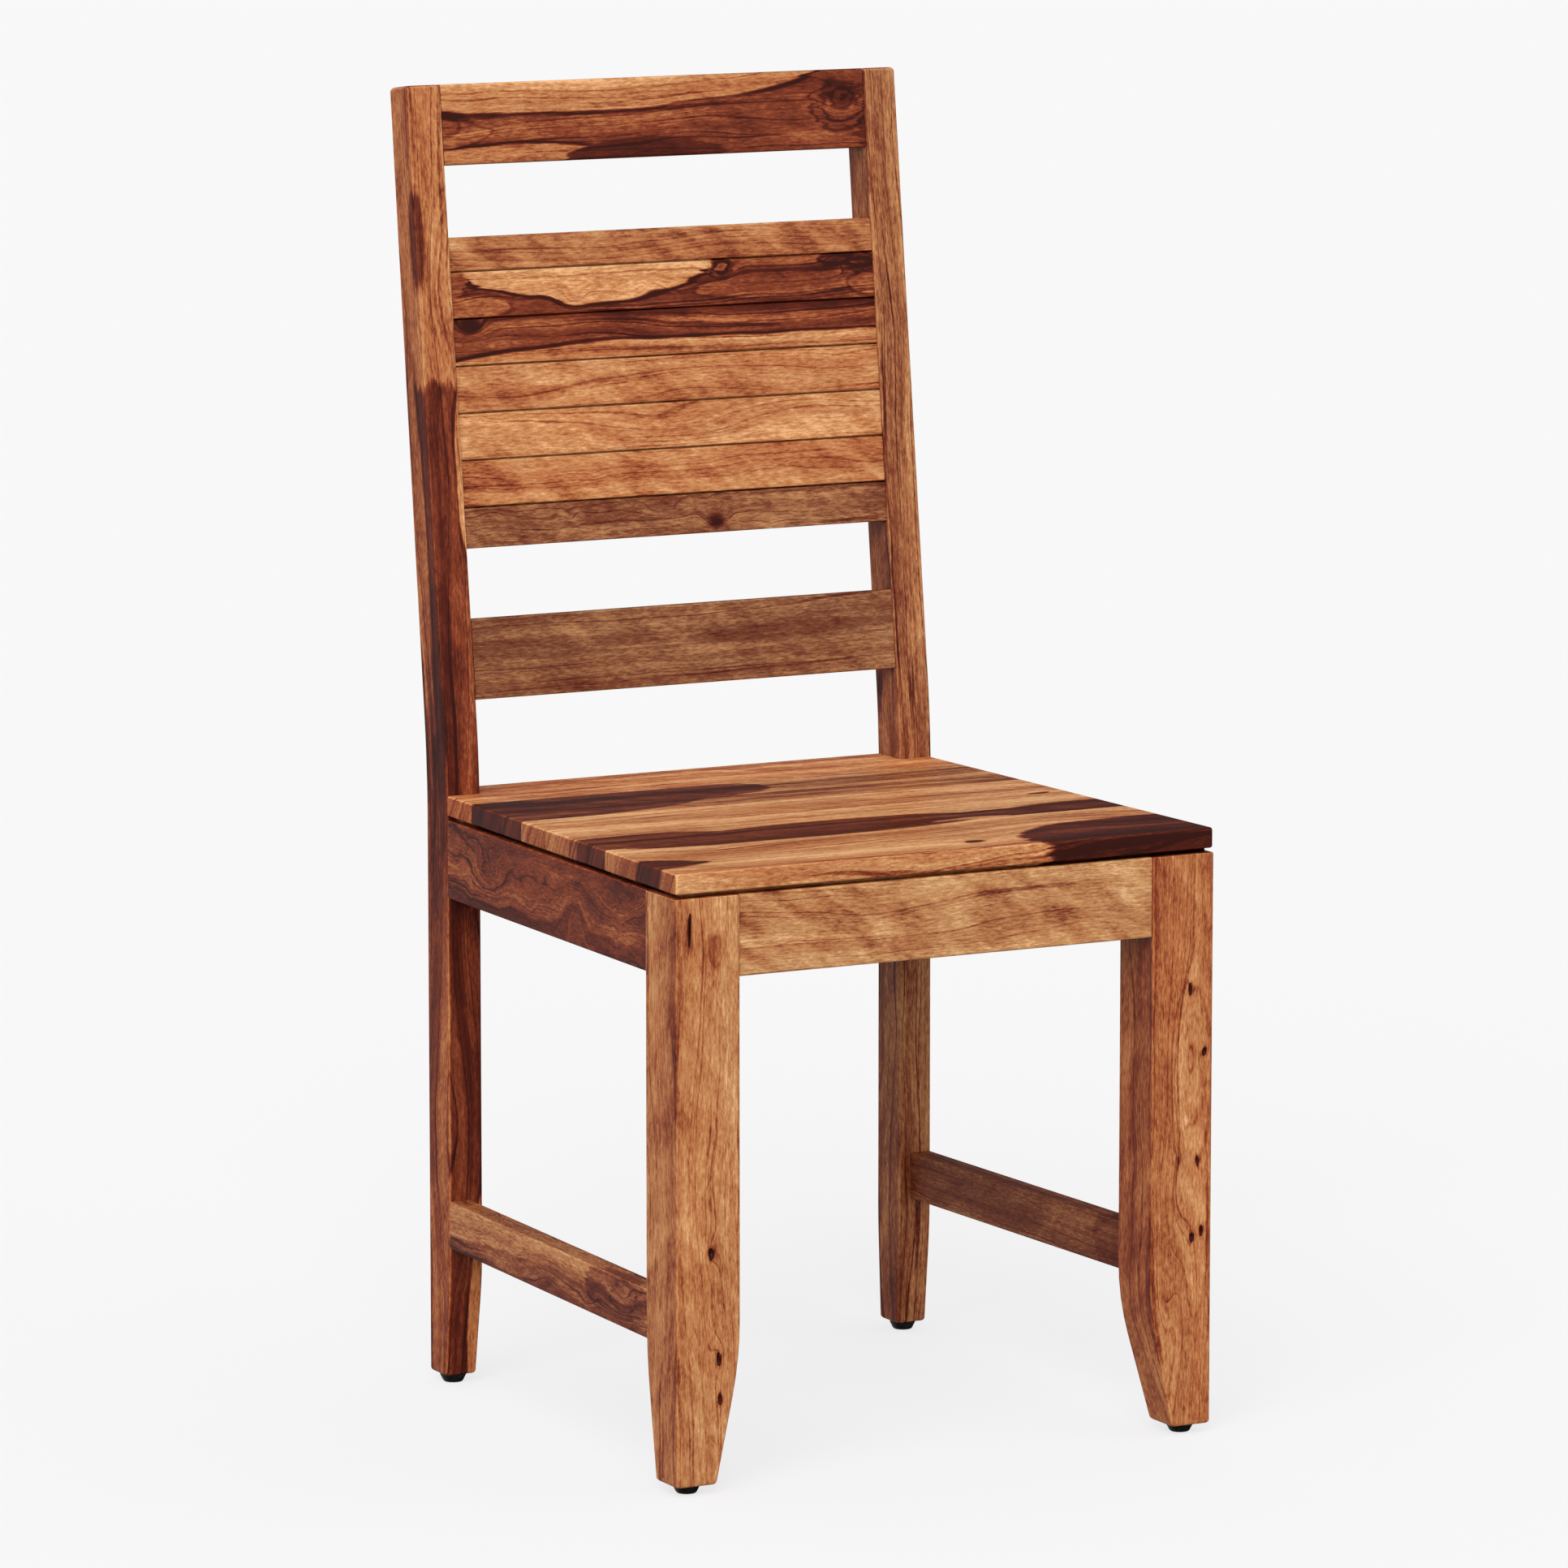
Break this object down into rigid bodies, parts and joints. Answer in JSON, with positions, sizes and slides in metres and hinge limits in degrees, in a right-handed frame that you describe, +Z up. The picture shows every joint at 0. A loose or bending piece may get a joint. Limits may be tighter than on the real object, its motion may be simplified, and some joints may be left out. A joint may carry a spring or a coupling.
{
  "type": "dining chair",
  "caption": "Slat-back dining chair in solid hardwood with tapered legs, bent rear posts, a flat glued-up seat over an apron frame, side stretchers and nailed glides.",
  "frame": {"origin": "on the floor, under the middle of the chair's bounding box", "axes": "+Z up, the chair's front faces -Y, +X is to the right of someone looking at its front; left and right in node names are that viewer's"},
  "size_m": [0.448, 0.4936, 0.9887],
  "materials": {
    "golden_wood": "satin clear finish, light golden to orange grain",
    "red_brown_wood": "satin clear finish, red-brown heartwood with dark streaks",
    "dark_heartwood": "satin clear finish, purple-brown heartwood",
    "brown_wood": "satin clear finish, dull straight-grained brown",
    "zinc_steel": "bright zinc plating",
    "black_plastic": "moulded, fine matt texture"
  },
  "bodies": {
    "root": {"back_slat_1": "golden_wood", "back_slat_2": "dark_heartwood", "back_slat_3": "red_brown_wood", "back_slat_4": "golden_wood", "back_slat_5": "golden_wood", "back_slat_6": "golden_wood", "back_slat_7": "brown_wood", "front_apron": "golden_wood", "front_block_left": "brown_wood", "front_block_left_screw_1": "zinc_steel", "front_block_left_screw_2": "zinc_steel", "front_block_left_seat_screw": "zinc_steel", "front_block_right": "brown_wood", "front_block_right_screw_1": "zinc_steel", "front_block_right_screw_2": "zinc_steel", "front_block_right_seat_screw": "zinc_steel", "front_glide_left": "black_plastic", "front_glide_left_nail": "zinc_steel", "front_glide_right": "black_plastic", "front_glide_right_nail": "zinc_steel", "front_leg_left": "golden_wood", "front_leg_right": "golden_wood", "lower_back_rail": "brown_wood", "rear_apron": "brown_wood", "rear_block_left": "brown_wood", "rear_block_left_screw_1": "zinc_steel", "rear_block_left_screw_2": "zinc_steel", "rear_block_left_seat_screw": "zinc_steel", "rear_block_right": "brown_wood", "rear_block_right_screw_1": "zinc_steel", "rear_block_right_screw_2": "zinc_steel", "rear_block_right_seat_screw": "zinc_steel", "rear_glide_left": "black_plastic", "rear_glide_left_nail": "zinc_steel", "rear_glide_right": "black_plastic", "rear_glide_right_nail": "zinc_steel", "rear_post_left": "red_brown_wood", "rear_post_right": "golden_wood", "seat_board_1": "golden_wood", "seat_board_2": "dark_heartwood", "seat_board_3": "dark_heartwood", "seat_board_4": "golden_wood", "seat_board_5": "golden_wood", "seat_board_6": "golden_wood", "seat_board_7": "golden_wood", "seat_board_8": "golden_wood", "side_apron_left": "red_brown_wood", "side_apron_right": "red_brown_wood", "side_stretcher_left": "red_brown_wood", "side_stretcher_right": "red_brown_wood", "top_rail": "red_brown_wood"}
  },
  "joints": []
}
